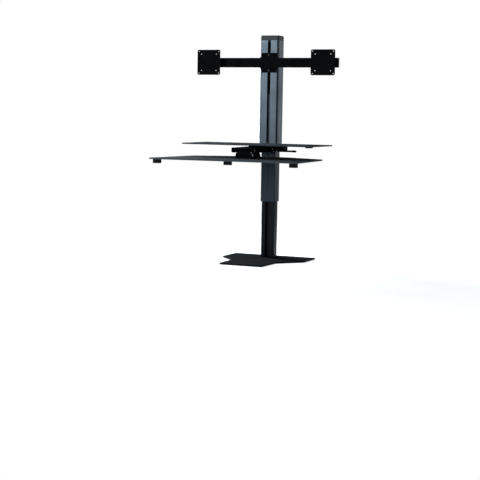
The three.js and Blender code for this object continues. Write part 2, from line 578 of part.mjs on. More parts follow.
function addCarriage() {
  const top = BAR_Z + BAR.halfHeight + GAP;
  const bottom = BAR_Z - BAR.halfHeight - GAP;
  const plateFront = BAR.back + GAP;
  const plateBack = MAST.front - GAP;
  const { halfWidth, reach, boltRise, boltRadius, boltHead } = CARRIAGE;
  const profile = outline([
    [plateBack, BAR_Z - reach], [plateBack, BAR_Z + reach], [plateFront, BAR_Z + reach],
    [plateFront, top + SADDLE_LIP], [BAR.front, top + SADDLE_LIP], [BAR.front, top], [plateFront, top],
    [plateFront, bottom], [BAR.front, bottom], [BAR.front, bottom - SADDLE_LIP],
    [plateFront, bottom - SADDLE_LIP], [plateFront, BAR_Z - reach],
  ].reverse());
  const slotHalf = MAST_SLOT / 2 - 2 * GAP;
  const innerFace = MAST.front + MAST.wall + GAP;
  const nutHalf = CARRIAGE_NUT.halfWidth;
  const nutShape = outline(mirrored([
    [slotHalf, plateBack + GAP], [slotHalf, innerFace],
    [nutHalf, innerFace], [nutHalf, innerFace + CARRIAGE_NUT.thick],
  ]));
  const bores = [-1, 1].map((side) => (
    rodY(boltRadius + GAP, BAR.front, MAST.front + 20, 0, BAR_Z + side * boltRise)));
  add('carriage_plate', cut(extrudeX(profile, -halfWidth, halfWidth), ...bores), 'blackPaint');
  add('carriage_nut', cut(extrudeZ(nutShape, BAR_Z - reach, BAR_Z + reach), ...bores), 'steel');
  [['carriage_bolt_upper', 1], ['carriage_bolt_lower', -1]].forEach(([name, side]) => {
    const z = BAR_Z + side * boltRise;
    const shank = rodY(boltRadius, plateFront - 1, innerFace + 4, 0, z);
    add(name, join(shank, rodY(boltHead, plateFront - 4, plateFront - GAP, 0, z)), 'steel');
  });

  const barSection = (inset, kind) => rectangle(BAR.front + inset, BAR.back - inset,
    BAR_Z - BAR.halfHeight + inset, BAR_Z + BAR.halfHeight - inset, BAR.corner - inset / 2, kind);
  const tube = barSection(0, THREE.Shape);
  tube.holes.push(barSection(BAR.wall, THREE.Path));
  add('crossbar', extrudeX(tube, -BAR.halfLength, BAR.halfLength), 'blackPaint');
  const inner = BAR.halfLength + GAP;
  const outer = BAR.halfLength + BAR.cap;
  add('crossbar_cap_left', extrudeX(barSection(0, THREE.Shape), -outer, -inner), 'plastic');
  add('crossbar_cap_right', extrudeX(barSection(0, THREE.Shape), inner, outer), 'plastic');
}

function addSlider(side, x) {
  const top = BAR_Z + BAR.halfHeight + GAP;
  const bottom = BAR_Z - BAR.halfHeight - GAP;
  const front = BAR.front - GAP;
  const back = BAR.back + GAP;
  const face = front - SLIDER.wall;
  const rear = back + SLIDER.backWall;
  const { halfWidth, lipReach, earHalf, earInner } = SLIDER;
  const wrap = outline([
    [face, bottom - SADDLE_LIP, 2], [rear, bottom - SADDLE_LIP, 2], [rear, BAR_Z - lipReach],
    [back, BAR_Z - lipReach], [back, bottom], [front, bottom], [front, top], [back, top],
    [back, BAR_Z + lipReach], [rear, BAR_Z + lipReach], [rear, top + SADDLE_LIP, 2],
    [face, top + SADDLE_LIP, 2],
  ]);
  const earTip = PAN_Y - 7;
  const ear = outline([
    [-earHalf, face + 1], [-earHalf, earTip, 7], [earHalf, earTip, 7], [earHalf, face + 1],
  ]);
  const earOuter = earInner + SLIDER.ear;
  const body = join(
    extrudeX(wrap, -halfWidth, halfWidth),
    extrudeZ(ear, BAR_Z + earInner, BAR_Z + earOuter),
    extrudeZ(ear, BAR_Z - earOuter, BAR_Z - earInner),
  );
  const knobY = (BAR.front + BAR.back) / 2;
  const panBore = rodZ(PAN_PIN.radius + GAP, BAR_Z - 30, BAR_Z + 30, 0, PAN_Y);
  const knobBore = rodZ(KNOB.screwRadius + GAP, bottom - 9, bottom + 1, 0, knobY);
  add(`slider_${side}`, cut(body, panBore, knobBore), 'blackPaint', x);

  const under = bottom - SADDLE_LIP - GAP;
  const knobEnd = under - KNOB.length;
  const screwEnd = bottom - GAP / 2;
  add(`slider_knob_${side}`, turned([
    [0, knobEnd], [KNOB.noseRadius, knobEnd], [KNOB.radius, knobEnd + 2], [KNOB.radius, under - 4],
    [KNOB.neckRadius, under], [KNOB.screwRadius, under], [KNOB.screwRadius, screwEnd], [0, screwEnd],
  ], 0, knobY, 0), 'plastic', x);
  add(`pan_pin_${side}`, turned([
    [0, -PAN_PIN.half], [PAN_PIN.radius, -PAN_PIN.half], [PAN_PIN.radius, earOuter + GAP],
    [PAN_PIN.headRadius, earOuter + GAP], [PAN_PIN.headRadius, PAN_PIN.half], [0, PAN_PIN.half],
  ], 0, PAN_Y, BAR_Z), 'steel', x);
}

function addMonitorPlate(side, x) {
  const tilt = { y: VESA_TILT_Y, z: BAR_Z };
  const { halfWidth, barrelRadius, noseRadius } = TILT_BLOCK;
  const barrelHalf = SLIDER.earInner - GAP;
  const block = join(
    rodZ(barrelRadius, BAR_Z - barrelHalf, BAR_Z + barrelHalf, 0, PAN_Y),
    box(-halfWidth, halfWidth, VESA_TILT_Y, PAN_Y, BAR_Z - noseRadius, BAR_Z + noseRadius),
    rodX(noseRadius, -halfWidth, halfWidth, tilt),
  );
  const panBore = rodZ(PAN_PIN.radius + GAP, BAR_Z - 30, BAR_Z + 30, 0, PAN_Y);
  const tiltBore = rodX(TILT_PIN.radius + GAP, -25, 25, tilt);
  add(`tilt_block_${side}`, cut(block, panBore, tiltBore), 'blackPaint', x);
  add(`tilt_pin_${side}`, rodX(TILT_PIN.radius, -TILT_PIN.half, TILT_PIN.half, tilt), 'steel', x);

  const plate = rectangle(-VESA.half, VESA.half, BAR_Z - VESA.half, BAR_Z + VESA.half, VESA.corner);
  VESA.pitches.forEach((pitch) => {
    [[-1, -1], [1, -1], [-1, 1], [1, 1]].forEach(([sideX, sideZ]) => {
      plate.holes.push(circle(sideX * pitch, BAR_Z + sideZ * pitch, VESA.holeRadius));
    });
  });
  const { inner, outer, halfHeight, reach } = VESA_LUG;
  const lug = outline([
    [VESA.back - 1, BAR_Z - halfHeight], [VESA_TILT_Y + reach, BAR_Z - reach, reach],
    [VESA_TILT_Y + reach, BAR_Z + reach, reach], [VESA.back - 1, BAR_Z + halfHeight],
  ]);
  const vesa = join(
    extrudeY(plate, VESA.back - VESA.thick, VESA.back, 7),
    extrudeX(lug, inner, outer),
    extrudeX(lug, -outer, -inner),
  );
  add(`vesa_plate_${side}`, cut(vesa, tiltBore), 'blackPaint', x);
}

addBase();
addLowerColumn();
addMidColumn();
addMast();
addControls();
addShelf();
addArmMount();
addArm();
addLevelLink();
addHead();
addLever();
addTray();
addCarriage();
[['left', -HEAD_X], ['right', HEAD_X]].forEach(([side, x]) => {
  addSlider(side, x);
  addMonitorPlate(side, x);
});

export default converter;
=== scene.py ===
import json
import math

import bmesh
import bpy
from mathutils import Matrix, Vector
from mathutils.geometry import tessellate_polygon


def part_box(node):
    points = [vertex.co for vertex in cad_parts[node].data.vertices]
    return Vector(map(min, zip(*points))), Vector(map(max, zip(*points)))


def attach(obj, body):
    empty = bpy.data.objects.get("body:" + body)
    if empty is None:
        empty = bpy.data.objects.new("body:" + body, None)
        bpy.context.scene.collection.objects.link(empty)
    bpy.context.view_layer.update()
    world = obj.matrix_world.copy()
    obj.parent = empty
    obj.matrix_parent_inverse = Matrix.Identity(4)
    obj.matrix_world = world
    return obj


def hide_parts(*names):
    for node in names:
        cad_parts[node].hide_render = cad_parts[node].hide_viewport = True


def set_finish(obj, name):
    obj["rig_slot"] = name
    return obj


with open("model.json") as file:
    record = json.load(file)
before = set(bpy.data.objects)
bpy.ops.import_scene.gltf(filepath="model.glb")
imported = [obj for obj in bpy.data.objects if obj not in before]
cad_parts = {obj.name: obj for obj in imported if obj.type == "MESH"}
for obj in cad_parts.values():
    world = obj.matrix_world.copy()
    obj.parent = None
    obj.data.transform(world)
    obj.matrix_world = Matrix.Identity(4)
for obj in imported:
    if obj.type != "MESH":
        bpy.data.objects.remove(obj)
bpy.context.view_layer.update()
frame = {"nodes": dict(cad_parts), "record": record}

MM = 0.001
NODES = frame["nodes"]
BODY_OF = {node: body for body, members in frame["record"]["behaviour"]["bodies"].items() for node in members}
SLOT_OF = {part["node"]: part["material_slot"] for part in frame["record"]["subparts"]}

# The camera: where it stands, in metres, and how it is turned, in degrees.
CAMERA_PLACE = (2.3134, -5.6316, 0.6983)
CAMERA_YAW = 23.63
CAMERA_PITCH = -5.75
CAMERA_ROLL = 0.91
CAMERA_LENS = 97.5
SENSOR = 36.0

# Softboxes: bearing from the front in degrees, height, size, power and colour.
LIGHT_DISTANCE = 3.0
SOFTBOXES = [
    ("softbox_left", -112, 1.2, (1.0, 2.8), 340, (0.80, 0.91, 1.0)),
    ("softbox_front", -24, 1.5, (1.0, 2.0), 48, (0.86, 0.94, 1.0)),
    ("softbox_rear", 150, 1.4, (1.0, 2.4), 15, (0.9, 0.95, 1.0)),
]
FILL_STRENGTH = 0.06
FLOOR_RADIUS = 2.2
FLOOR_STEPS = 96

HOLE_RADIUS = 2.5 * MM
HOLE_PITCH = 10 * MM
HOLE_COUNT = 44
HOLE_STEPS = 20
SCREW_PITCH = 5 * MM
LEVER_STEPS = 48            # steps along the lever
ROUND_STEPS = 24            # steps round a small round piece
KNOB_LOBES = 8
LOUVRES = 7
LOUVRE_PITCH = 6 * MM
CAP_CROWN = 4 * MM          # how far the cap's crown stands over its shoulder
CAP_STEP = 2 * MM           # how far the crown is set in
FOOT_WAIST = 0.62           # where the foot's groove lies, as a share of its height

SOFT_EDGE = 0.5 * MM        # the usual radius on an edge of metal or board
ARC_STEPS = 4               # steps round a soft edge
TURN_STEPS = 48             # steps round a turned piece
SHARP = math.radians(35)    # a corner that turns more than this is a real corner


# ------------------------------------------------------------------ camera, light and floor

def add_camera():
    yaw, pitch, roll = (math.radians(a) for a in (CAMERA_YAW, CAMERA_PITCH, CAMERA_ROLL))
    forward = Vector((-math.sin(yaw) * math.cos(pitch), math.cos(yaw) * math.cos(pitch), math.sin(pitch)))
    right = Vector((math.cos(yaw), math.sin(yaw), 0))
    up = right.cross(forward)
    tilted_right = math.cos(roll) * right + math.sin(roll) * up
    tilted_up = math.cos(roll) * up - math.sin(roll) * right
    data = bpy.data.cameras.new("camera")
    data.lens = CAMERA_LENS
    data.sensor_width = SENSOR
    data.clip_end = 100
    camera = bpy.data.objects.new("camera", data)
    axes = Matrix((tilted_right, tilted_up, -forward)).transposed()
    camera.matrix_world = Matrix.Translation(CAMERA_PLACE) @ axes.to_4x4()
    bpy.context.scene.collection.objects.link(camera)
    bpy.context.scene.camera = camera


def add_area_light(name, place, target, size, power, colour):
    data = bpy.data.lights.new(name, "AREA")
    data.shape = "RECTANGLE"
    data.size, data.size_y = size
    data.energy = power
    data.color = colour
    light = bpy.data.objects.new(name, data)
    light.location = place
    light.rotation_euler = (Vector(target) - Vector(place)).to_track_quat("-Z", "Y").to_euler()
    bpy.context.scene.collection.objects.link(light)


def add_studio():
    scene = bpy.context.scene
    scene.view_settings.view_transform = "Standard"
    world = bpy.data.worlds.new("studio")
    scene.world = world
    world.use_nodes = True
    tree = world.node_tree
    tree.nodes.clear()
    output = tree.nodes.new("ShaderNodeOutputWorld")
    seen = tree.nodes.new("ShaderNodeBackground")
    seen.inputs["Color"].default_value = (1, 1, 1, 1)
    seen.inputs["Strength"].default_value = 1.0
    fill = tree.nodes.new("ShaderNodeBackground")
    fill.inputs["Color"].default_value = (0.86, 0.92, 1.0, 1)
    fill.inputs["Strength"].default_value = FILL_STRENGTH
    mix = tree.nodes.new("ShaderNodeMixShader")
    path = tree.nodes.new("ShaderNodeLightPath")
    tree.links.new(path.outputs["Is Camera Ray"], mix.inputs["Fac"])
    tree.links.new(fill.outputs[0], mix.inputs[1])
    tree.links.new(seen.outputs[0], mix.inputs[2])
    tree.links.new(mix.outputs[0], output.inputs["Surface"])
    for name, bearing, height, size, power, colour in SOFTBOXES:
        angle = math.radians(bearing - 90)
        place = (LIGHT_DISTANCE * math.cos(angle), LIGHT_DISTANCE * math.sin(angle), height)
        add_area_light(name, place, (0, -0.1, 0.55), size, power, colour)


def add_floor():
    """A round of pale paper that fades out into the white studio."""
    mesh = bpy.data.meshes.new("floor")
    corners = [k * 2 * math.pi / FLOOR_STEPS for k in range(FLOOR_STEPS)]
    ring = [(FLOOR_RADIUS * math.cos(a), FLOOR_RADIUS * math.sin(a), 0) for a in corners]
    mesh.from_pydata(ring, [], [list(range(FLOOR_STEPS))])
    floor = bpy.data.objects.new("floor", mesh)
    bpy.context.scene.collection.objects.link(floor)
    paper = Surface("floor_paper", 0.9, specular=0.1)
    tint = paper.remap(paper.noise(80 * MM, detail=4), 0, 1)
    paper.set_colour(paper.colour((0.86, 0.86, 0.86), (0.9, 0.9, 0.9), tint))
    paper.shader.inputs["Emission Color"].default_value = (1, 1, 1, 1)
    paper.shader.inputs["Emission Strength"].default_value = 0.6
    distance = paper.node("ShaderNodeVectorMath", operation="LENGTH")
    paper.link(paper.place, distance.inputs[0])
    fade = paper.remap(distance.outputs["Value"], 1, 0, 0.45, FLOOR_RADIUS)
    paper.link(fade, paper.shader.inputs["Alpha"])
    mesh.materials.append(paper.material)


# ------------------------------------------------------------------ materials

class Surface:
    """A node material built step by step, in the piece's own coordinates."""

    def __init__(self, name, roughness, metallic=0.0, specular=0.5):
        self.material = bpy.data.materials.new(name)
        self.material.use_nodes = True
        self.tree = self.material.node_tree
        self.shader = self.tree.nodes["Principled BSDF"]
        self.shader.inputs["Metallic"].default_value = metallic
        self.shader.inputs["Roughness"].default_value = roughness
        self.shader.inputs["Specular IOR Level"].default_value = specular
        self.place = self.tree.nodes.new("ShaderNodeTexCoord").outputs["Object"]
        self.height = None

    def node(self, kind, **values):
        made = self.tree.nodes.new(kind)
        for name, value in values.items():
            setattr(made, name, value)
        return made

    def link(self, source, target):
        self.tree.links.new(source, target)

    def noise(self, size, detail=2.0, stretch=(1, 1, 1)):
        """Noise with grains about size metres across, stretched along an axis."""
        mapping = self.node("ShaderNodeMapping")
        mapping.inputs["Scale"].default_value = [1 / (size * s) for s in stretch]
        self.link(self.place, mapping.inputs["Vector"])
        texture = self.node("ShaderNodeTexNoise")
        texture.inputs["Scale"].default_value = 1.0
        texture.inputs["Detail"].default_value = detail
        self.link(mapping.outputs["Vector"], texture.inputs["Vector"])
        return texture.outputs["Fac"]

    def cells(self, size):
        mapping = self.node("ShaderNodeMapping")
        mapping.inputs["Scale"].default_value = [1 / size] * 3
        self.link(self.place, mapping.inputs["Vector"])
        texture = self.node("ShaderNodeTexVoronoi")
        texture.inputs["Scale"].default_value = 1.0
        self.link(mapping.outputs["Vector"], texture.inputs["Vector"])
        return texture.outputs["Distance"]

    def remap(self, value, low, high, from_low=0.3, from_high=0.7):
        ramp = self.node("ShaderNodeMapRange")
        ramp.inputs["From Min"].default_value = from_low
        ramp.inputs["From Max"].default_value = from_high
        ramp.inputs["To Min"].default_value = low
        ramp.inputs["To Max"].default_value = high
        self.link(value, ramp.inputs["Value"])
        return ramp.outputs["Result"]

    def edge_mask(self, radius):
        """About 1 on edges and 0 on flat faces: the mask for painted highlights on edges."""
        bevel = self.node("ShaderNodeBevel", samples=4)
        bevel.inputs["Radius"].default_value = radius
        geometry = self.node("ShaderNodeNewGeometry")
        dot = self.node("ShaderNodeVectorMath", operation="DOT_PRODUCT")
        self.link(bevel.outputs["Normal"], dot.inputs[0])
        self.link(geometry.outputs["Normal"], dot.inputs[1])
        return self.remap(dot.outputs["Value"], 1.0, 0.0, 0.86, 0.995)

    def facing_up(self):
        """1 on faces that look along the piece's own +Z and 0 elsewhere."""
        normal = self.node("ShaderNodeTexCoord").outputs["Normal"]
        parts = self.node("ShaderNodeSeparateXYZ")
        self.link(normal, parts.inputs["Vector"])
        return self.remap(parts.outputs["Z"], 0, 1, 0.55, 0.9)

    def colour(self, dark, light, factor):
        mix = self.node("ShaderNodeMix", data_type="RGBA")
        mix.inputs["A"].default_value = (*dark, 1)
        mix.inputs["B"].default_value = (*light, 1)
        self.link(factor, mix.inputs["Factor"])
        return mix.outputs["Result"]

    def over(self, below, light, factor):
        mix = self.node("ShaderNodeMix", data_type="RGBA")
        self.link(below, mix.inputs["A"])
        mix.inputs["B"].default_value = (*light, 1)
        self.link(factor, mix.inputs["Factor"])
        return mix.outputs["Result"]

    def set_colour(self, value):
        self.link(value, self.shader.inputs["Base Color"])

    def set_roughness(self, value):
        self.link(value, self.shader.inputs["Roughness"])

    def bump(self, value, depth, strength=1.0):
        """Adds relief of about depth metres."""
        node = self.node("ShaderNodeBump")
        node.inputs["Strength"].default_value = strength
        node.inputs["Distance"].default_value = depth
        self.link(value, node.inputs["Height"])
        if self.height is not None:
            self.link(self.height, node.inputs["Normal"])
        self.height = node.outputs["Normal"]
        self.link(self.height, self.shader.inputs["Normal"])


def linear(hex_colour):
    """A linear colour from an sRGB hex string."""
    parts = [int(hex_colour[k:k + 2], 16) / 255 for k in (0, 2, 4)]
    return tuple(c / 12.92 if c <= 0.04045 else ((c + 0.055) / 1.055) ** 2.4 for c in parts)


def powder_coat(name, dark, light, edge, roughness, metallic=0.0, specular=0.5,
                grain=0.9 * MM, relief=0.03 * MM):
    """Powder-coated steel: orange-peel relief, faint mottling, and a painted highlight that makes the edges
    paler.
    """
    surface = Surface(name, roughness, metallic, specular)
    mottle = surface.noise(38 * MM, detail=4)
    base = surface.colour(linear(dark), linear(light), surface.remap(mottle, 0, 1))
    # painted highlight: the edges are lightened towards the edge colour
    painted_edge_highlight = surface.edge_mask(0.9 * MM)
    surface.set_colour(surface.over(base, linear(edge), painted_edge_highlight))
    smudge = surface.noise(60 * MM, detail=5)
    surface.set_roughness(surface.remap(smudge, roughness - 0.06, roughness + 0.07))
    surface.bump(surface.noise(grain, detail=2), relief)
    return surface.material


def column_coat(name, dark, light, edge, roughness, metallic, specular=0.5):
    """Satin metallic coat on an extruded tube, with faint draw lines along its length, flecks, and a painted
    highlight on its edges.
    """
    surface = Surface(name, roughness, metallic, specular)
    lines = surface.noise(0.6 * MM, detail=3, stretch=(1, 1, 600))
    flake = surface.noise(0.35 * MM, detail=1)
    base = surface.colour(linear(dark), linear(light), surface.remap(lines, 0, 1, 0.25, 0.75))
    flecked = surface.over(base, linear(edge), surface.remap(flake, 0, 0.35, 0.6, 0.8))
    # painted highlight: the edges are lightened towards the edge colour, which also colours the flecks
    painted_edge_highlight = surface.edge_mask(1.2 * MM)
    surface.set_colour(surface.over(flecked, linear(edge), painted_edge_highlight))
    surface.set_roughness(surface.remap(surface.noise(90 * MM, detail=5), roughness - 0.05, roughness + 0.06))
    surface.bump(lines, 0.012 * MM)
    surface.bump(surface.noise(0.8 * MM, detail=2), 0.01 * MM)
    return surface.material


def laminate(name, dark, light, band, edge, roughness):
    """Compact laminate board: a dark pressed texture on the upward faces, paler sides with saw lines, where
    the paler side colour is painted light, and a painted highlight on the edges.
    """
    surface = Surface(name, roughness, specular=0.12)
    mottle = surface.remap(surface.noise(55 * MM, detail=5), 0, 1)
    face = surface.colour(linear(dark), linear(light), mottle)
    sawn = surface.noise(0.8 * MM, detail=3, stretch=(60, 60, 1))
    side = surface.colour(linear(band), linear(edge), surface.remap(sawn, 0, 0.6))
    # painted light: upward faces take the dark face colour and all other faces the paler side colour, as the
    # light falls on them
    mix = surface.node("ShaderNodeMix", data_type="RGBA")
    surface.link(surface.facing_up(), mix.inputs["Factor"])
    surface.link(side, mix.inputs["A"])
    surface.link(face, mix.inputs["B"])
    # painted highlight on the edges
    painted_edge_highlight = surface.remap(surface.edge_mask(1.1 * MM), 0, 0.5, 0, 1)
    surface.set_colour(surface.over(mix.outputs["Result"], linear(edge), painted_edge_highlight))
    smudge = surface.noise(120 * MM, detail=6)
    surface.set_roughness(surface.remap(smudge, roughness - 0.07, roughness + 0.08))
    surface.bump(surface.cells(1.1 * MM), 0.05 * MM)
    surface.bump(surface.noise(0.4 * MM, detail=2), 0.015 * MM)
    return surface.material


def moulded_plastic(name, dark, light, roughness):
    """Injection-moulded plastic with a spark-eroded grain."""
    surface = Surface(name, roughness, specular=0.4)
    mottle = surface.remap(surface.noise(25 * MM, detail=4), 0, 1)
    base = surface.colour(linear(dark), linear(light), mottle)
    # painted highlight: the edges are lightened towards 4a4c4f
    painted_edge_highlight = surface.remap(surface.edge_mask(0.6 * MM), 0, 0.5, 0, 1)
    surface.set_colour(surface.over(base, linear("4a4c4f"), painted_edge_highlight))
    grain = surface.noise(0.7 * MM, detail=2)
    surface.set_roughness(surface.remap(grain, roughness - 0.06, roughness + 0.08))
    surface.bump(surface.cells(0.55 * MM), 0.03 * MM)
    return surface.material


def rubber(name, dark, light):
    """Matte rubber with a dusty bloom."""
    surface = Surface(name, 0.85, specular=0.25)
    bloom = surface.noise(9 * MM, detail=6)
    surface.set_colour(surface.colour(linear(dark), linear(light), surface.remap(bloom, 0, 1)))
    surface.set_roughness(surface.remap(surface.noise(3 * MM, detail=4), 0.75, 0.95))
    surface.bump(surface.noise(0.9 * MM, detail=4), 0.08 * MM)
    return surface.material


def plated_steel(name, dark, light, roughness, stretch=(40, 1, 1)):
    """Bright zinc plate over turned steel, with fine tool marks."""
    surface = Surface(name, roughness, metallic=1.0)
    marks = surface.noise(0.25 * MM, detail=3, stretch=stretch)
    mottle = surface.remap(surface.noise(6 * MM, detail=4), 0, 1)
    surface.set_colour(surface.colour(linear(dark), linear(light), mottle))
    surface.set_roughness(surface.remap(marks, roughness - 0.08, roughness + 0.12))
    surface.bump(marks, 0.01 * MM)
    return surface.material


def make_materials():
    # The last colour of each coat is its painted edge highlight, in the column coats also the fleck colour;
    # the laminate's last two colours paint its sides paler as lit faces, and the last also its edge
    # highlight.
    return {
        "mast_paint": column_coat("mast_coat", "3f4951", "49535b", "8fa2b0", 0.36, 0.55),
        "cap_plastic": moulded_plastic("cap_plastic", "2f3133", "3b3d40", 0.5),
        "column_paint": column_coat("column_coat", "070c10", "0d141a", "2c3944", 0.42, 0.1, specular=0.12),
        "mid_column_paint": column_coat("mid_column_coat", "1a252e", "22303b", "4a5a68", 0.4, 0.3,
                                        specular=0.3),
        "black_paint": powder_coat("black_coat", "0e0e10", "151517", "3c4044", 0.7, specular=0.02),
        "tray_paint": laminate("charcoal_laminate", "14171a", "1b1f22", "3a4146", "596167", 0.62),
        "fastener_black": powder_coat("black_oxide", "151517", "1f1f22", "505054", 0.4,
                                      metallic=0.8, grain=0.3 * MM),
        "steel": plated_steel("zinc_plate", "a2a2a4", "c6c6c8", 0.34),
        "lever_finish": powder_coat("lever_coat", "18181a", "222225", "55585c", 0.42),
        "plastic": moulded_plastic("black_plastic", "141517", "1d1e20", 0.5),
        "rubber": rubber("black_rubber", "0e0f10", "1a1b1c"),
    }


# ------------------------------------------------------------------ mesh tools

def section(node, axis, side=1):
    """The outlines of a node's flat end along an axis (0, 1 or 2), as loops of (a, b).
    The solid is on the left of each loop, and a and b are the two axes that follow axis in X, Y, Z order."""
    first, second = (axis + 1) % 3, (axis + 2) % 3
    mesh = NODES[node].data
    level = (max if side > 0 else min)(v.co[axis] for v in mesh.vertices)
    near = 1e-5
    edges = set()
    corner = {}
    for polygon in mesh.polygons:
        if any(abs(mesh.vertices[i].co[axis] - level) > near for i in polygon.vertices):
            continue
        keys = []
        for index in polygon.vertices:
            co = mesh.vertices[index].co
            key = (round(co[first] * 1e6), round(co[second] * 1e6))
            corner[key] = (co[first], co[second])
            keys.append(key)
        if side < 0:
            keys.reverse()
        edges.update(zip(keys, keys[1:] + keys[:1]))
    following = {start: end for start, end in edges if (end, start) not in edges}
    loops = []
    while following:
        start = next(iter(sorted(following)))
        loop = [start]
        step = following.pop(start)
        while step != start:
            loop.append(step)
            step = following.pop(step)
        loops.append([Vector(corner[key]) for key in loop])
    return sorted(loops, key=lambda loop: -abs(loop_area(loop)))


def loop_area(loop):
    return sum(a.x * b.y - b.x * a.y for a, b in zip(loop, loop[1:] + loop[:1])) / 2


def without_flat_points(loop):
    kept = []
    count = len(loop)
    for index, point in enumerate(loop):
        before = (point - loop[index - 1]).normalized()
        after = (loop[(index + 1) % count] - point).normalized()
        if before.angle(after, 0) > math.radians(0.5):
            kept.append(point)
    return kept


def softened(loop, radius):
    """The loop with each real corner rounded to a small radius."""
    loop = without_flat_points(loop)
    soft = []
    count = len(loop)
    for index, point in enumerate(loop):
        before = loop[index - 1]
        after = loop[(index + 1) % count]
        turn = (point - before).angle(after - point, 0)
        if turn < SHARP:
            soft.append(point)
            continue
        reach = min(radius * math.tan(turn / 2), (point - before).length * 0.4, (after - point).length * 0.4)
        enter = point + (before - point).normalized() * reach
        leave = point + (after - point).normalized() * reach
        for step in range(4):
            t = step / 3
            soft.append(enter * (1 - t) ** 2 + point * (2 * t * (1 - t)) + leave * t ** 2)
    return soft


def inset_loop(loop, inset):
    """The loop moved towards its solid side, which is on the left, with mitred corners."""
    moved = []
    count = len(loop)
    for index, point in enumerate(loop):
        before = (point - loop[index - 1]).normalized()
        after = (loop[(index + 1) % count] - point).normalized()
        normal_before = Vector((-before.y, before.x))
        normal_after = Vector((-after.y, after.x))
        middle = (normal_before + normal_after).normalized()
        moved.append(point + middle * (inset / max(middle.dot(normal_before), 0.5)))
    return moved


def place_point(axis, a, b, along):
    co = [0.0, 0.0, 0.0]
    co[axis] = along
    co[(axis + 1) % 3] = a
    co[(axis + 2) % 3] = b
    return Vector(co)


def loft(mesh_data, loops, axis, levels):
    """Adds a closed body to a bmesh: the loops at each (place, inset) level, capped at both ends."""
    rings = []
    for along, inset in levels:
        rings.append([
            [mesh_data.verts.new(place_point(axis, p.x, p.y, along)) for p in inset_loop(loop, inset)]
            for loop in loops])
    for lower, upper in zip(rings, rings[1:]):
        for low_ring, high_ring in zip(lower, upper):
            for k in range(len(low_ring)):
                n = (k + 1) % len(low_ring)
                mesh_data.faces.new((low_ring[k], low_ring[n], high_ring[n], high_ring[k]))
    for ring_set, (along, inset), flip in ((rings[0], levels[0], True), (rings[-1], levels[-1], False)):
        outlines = [[v.co.copy() for v in ring] for ring in ring_set]
        corners = [v for ring in ring_set for v in ring]
        up = place_point(axis, 0, 0, 1)
        for triangle in tessellate_polygon(outlines):
            points = [corners[k].co for k in triangle]
            normal = (points[1] - points[0]).cross(points[2] - points[0])
            if normal.length < 1e-14:
                continue
            order = list(triangle)
            if (normal.dot(up) > 0) == flip:
                order.reverse()
            face = [corners[k] for k in order]
            if mesh_data.faces.get(face) is None:
                mesh_data.faces.new(face)


def soft_levels(low, high, edge_low, edge_high):
    quarter = [k * math.pi / 2 / ARC_STEPS for k in range(ARC_STEPS + 1)]
    start = [(low + edge_low * (1 - math.cos(a)), edge_low * (1 - math.sin(a))) for a in quarter]
    end = [(high - edge_high * (1 - math.cos(a)), edge_high * (1 - math.sin(a))) for a in reversed(quarter)]
    return start + end


def groove_levels(middle, half_mouth, half_floor, depth):
    """Levels for a shallow groove round a lofted body."""
    return [(middle - half_mouth, 0), (middle - half_floor, depth),
            (middle + half_floor, depth), (middle + half_mouth, 0)]


def build(name, fill):
    """A new mesh object from a function that fills a bmesh."""
    data = bmesh.new()
    fill(data)
    mesh = bpy.data.meshes.new(name)
    bmesh.ops.remove_doubles(data, verts=data.verts, dist=1e-7)
    bmesh.ops.recalc_face_normals(data, faces=data.faces)
    data.to_mesh(mesh)
    data.free()
    made = bpy.data.objects.new(name, mesh)
    bpy.context.scene.collection.objects.link(made)
    return made


def prism(name, loops, axis, low, high, edge=SOFT_EDGE, top_edge=None):
    loops = [softened(loop, edge) for loop in loops]
    levels = soft_levels(low, high, edge, edge if top_edge is None else top_edge)
    return build(name, lambda data: loft(data, loops, axis, levels))


def add_turned(data, profile, axis, centre, steps=TURN_STEPS):
    """Adds a turned body to a bmesh from (radius, place) points that start and end at radius 0."""
    first = (axis + 1) % 3
    second = (axis + 2) % 3
    rings = []
    for radius, along in profile:
        ring = []
        for k in range(steps if radius > 0 else 1):
            angle = 2 * math.pi * k / steps
            a = centre[first] + radius * math.cos(angle)
            b = centre[second] + radius * math.sin(angle)
            ring.append(data.verts.new(place_point(axis, a, b, centre[axis] + along)))
        rings.append(ring)
    for lower, upper in zip(rings, rings[1:]):
        for k in range(steps):
            corners = [lower[k % len(lower)], lower[(k + 1) % len(lower)],
                       upper[(k + 1) % len(upper)], upper[k % len(upper)]]
            unique = list(dict.fromkeys(corners))
            if len(unique) > 2:
                data.faces.new(unique)


def soft_profile(points, radius):
    """A turned outline with its corners rounded; points are (radius, place)."""
    loop = [Vector(p) for p in points]
    soft = [loop[0]]
    for before, point, after in zip(loop, loop[1:], loop[2:]):
        reach = min(radius, (point - before).length * 0.45, (after - point).length * 0.45)
        enter = point + (before - point).normalized() * reach
        leave = point + (after - point).normalized() * reach
        for step in range(5):
            t = step / 4
            soft.append(enter * (1 - t) ** 2 + point * (2 * t * (1 - t)) + leave * t ** 2)
    soft.append(loop[-1])
    return [(p.x, p.y) for p in soft]


def turned(name, profile, axis, centre, steps=TURN_STEPS):
    return build(name, lambda data: add_turned(data, profile, axis, centre, steps))


def apply_modifiers(piece):
    graph = bpy.context.evaluated_depsgraph_get()
    mesh = bpy.data.meshes.new_from_object(piece.evaluated_get(graph))
    piece.modifiers.clear()
    piece.data = mesh


def carve(piece, cutter):
    """Cuts the cutter's shape out of the piece and removes the cutter."""
    modifier = piece.modifiers.new("cut", "BOOLEAN")
    modifier.operation = "DIFFERENCE"
    modifier.solver = "EXACT"
    modifier.object = cutter
    bpy.context.view_layer.update()
    apply_modifiers(piece)
    bpy.data.objects.remove(cutter)


